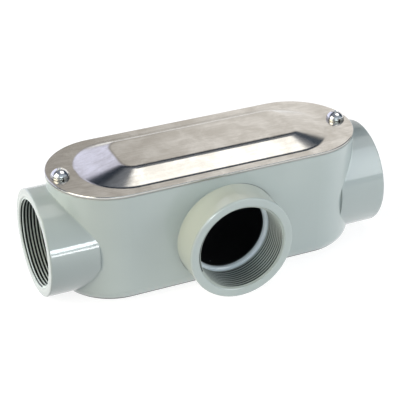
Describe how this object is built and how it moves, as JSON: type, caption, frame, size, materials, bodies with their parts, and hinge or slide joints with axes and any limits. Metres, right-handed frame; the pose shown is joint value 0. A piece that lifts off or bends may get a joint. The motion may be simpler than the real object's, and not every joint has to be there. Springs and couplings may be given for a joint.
{
  "type": "conduit body",
  "caption": "Obround cast conduit body with threaded hubs at both ends and on one side, a bushing lip in each, and a domed stamped cover held by screws over a gasket.",
  "frame": {"origin": "on the flat back, straight below the point where the three outlet axes cross", "axes": "+Z out of the cover, X along the run of the two end outlets, the side outlet points to -Y"},
  "size_m": [0.2412, 0.1034, 0.0874],
  "materials": {
    "casting_paint": "smooth semi-gloss pale grey enamel",
    "cover_sheet": "bare stamped sheet, softly mottled",
    "gasket": "matt pale grey synthetic rubber sheet",
    "screw_plating": "bright plated",
    "washer_plating": "plated spring steel"
  },
  "bodies": {
    "root": {"body_casting": "casting_paint", "cover_plate": "cover_sheet", "cover_gasket": "gasket", "cover_screw_left": "screw_plating", "cover_screw_right": "screw_plating", "lock_washer_left": "washer_plating", "lock_washer_right": "washer_plating"}
  },
  "joints": []
}
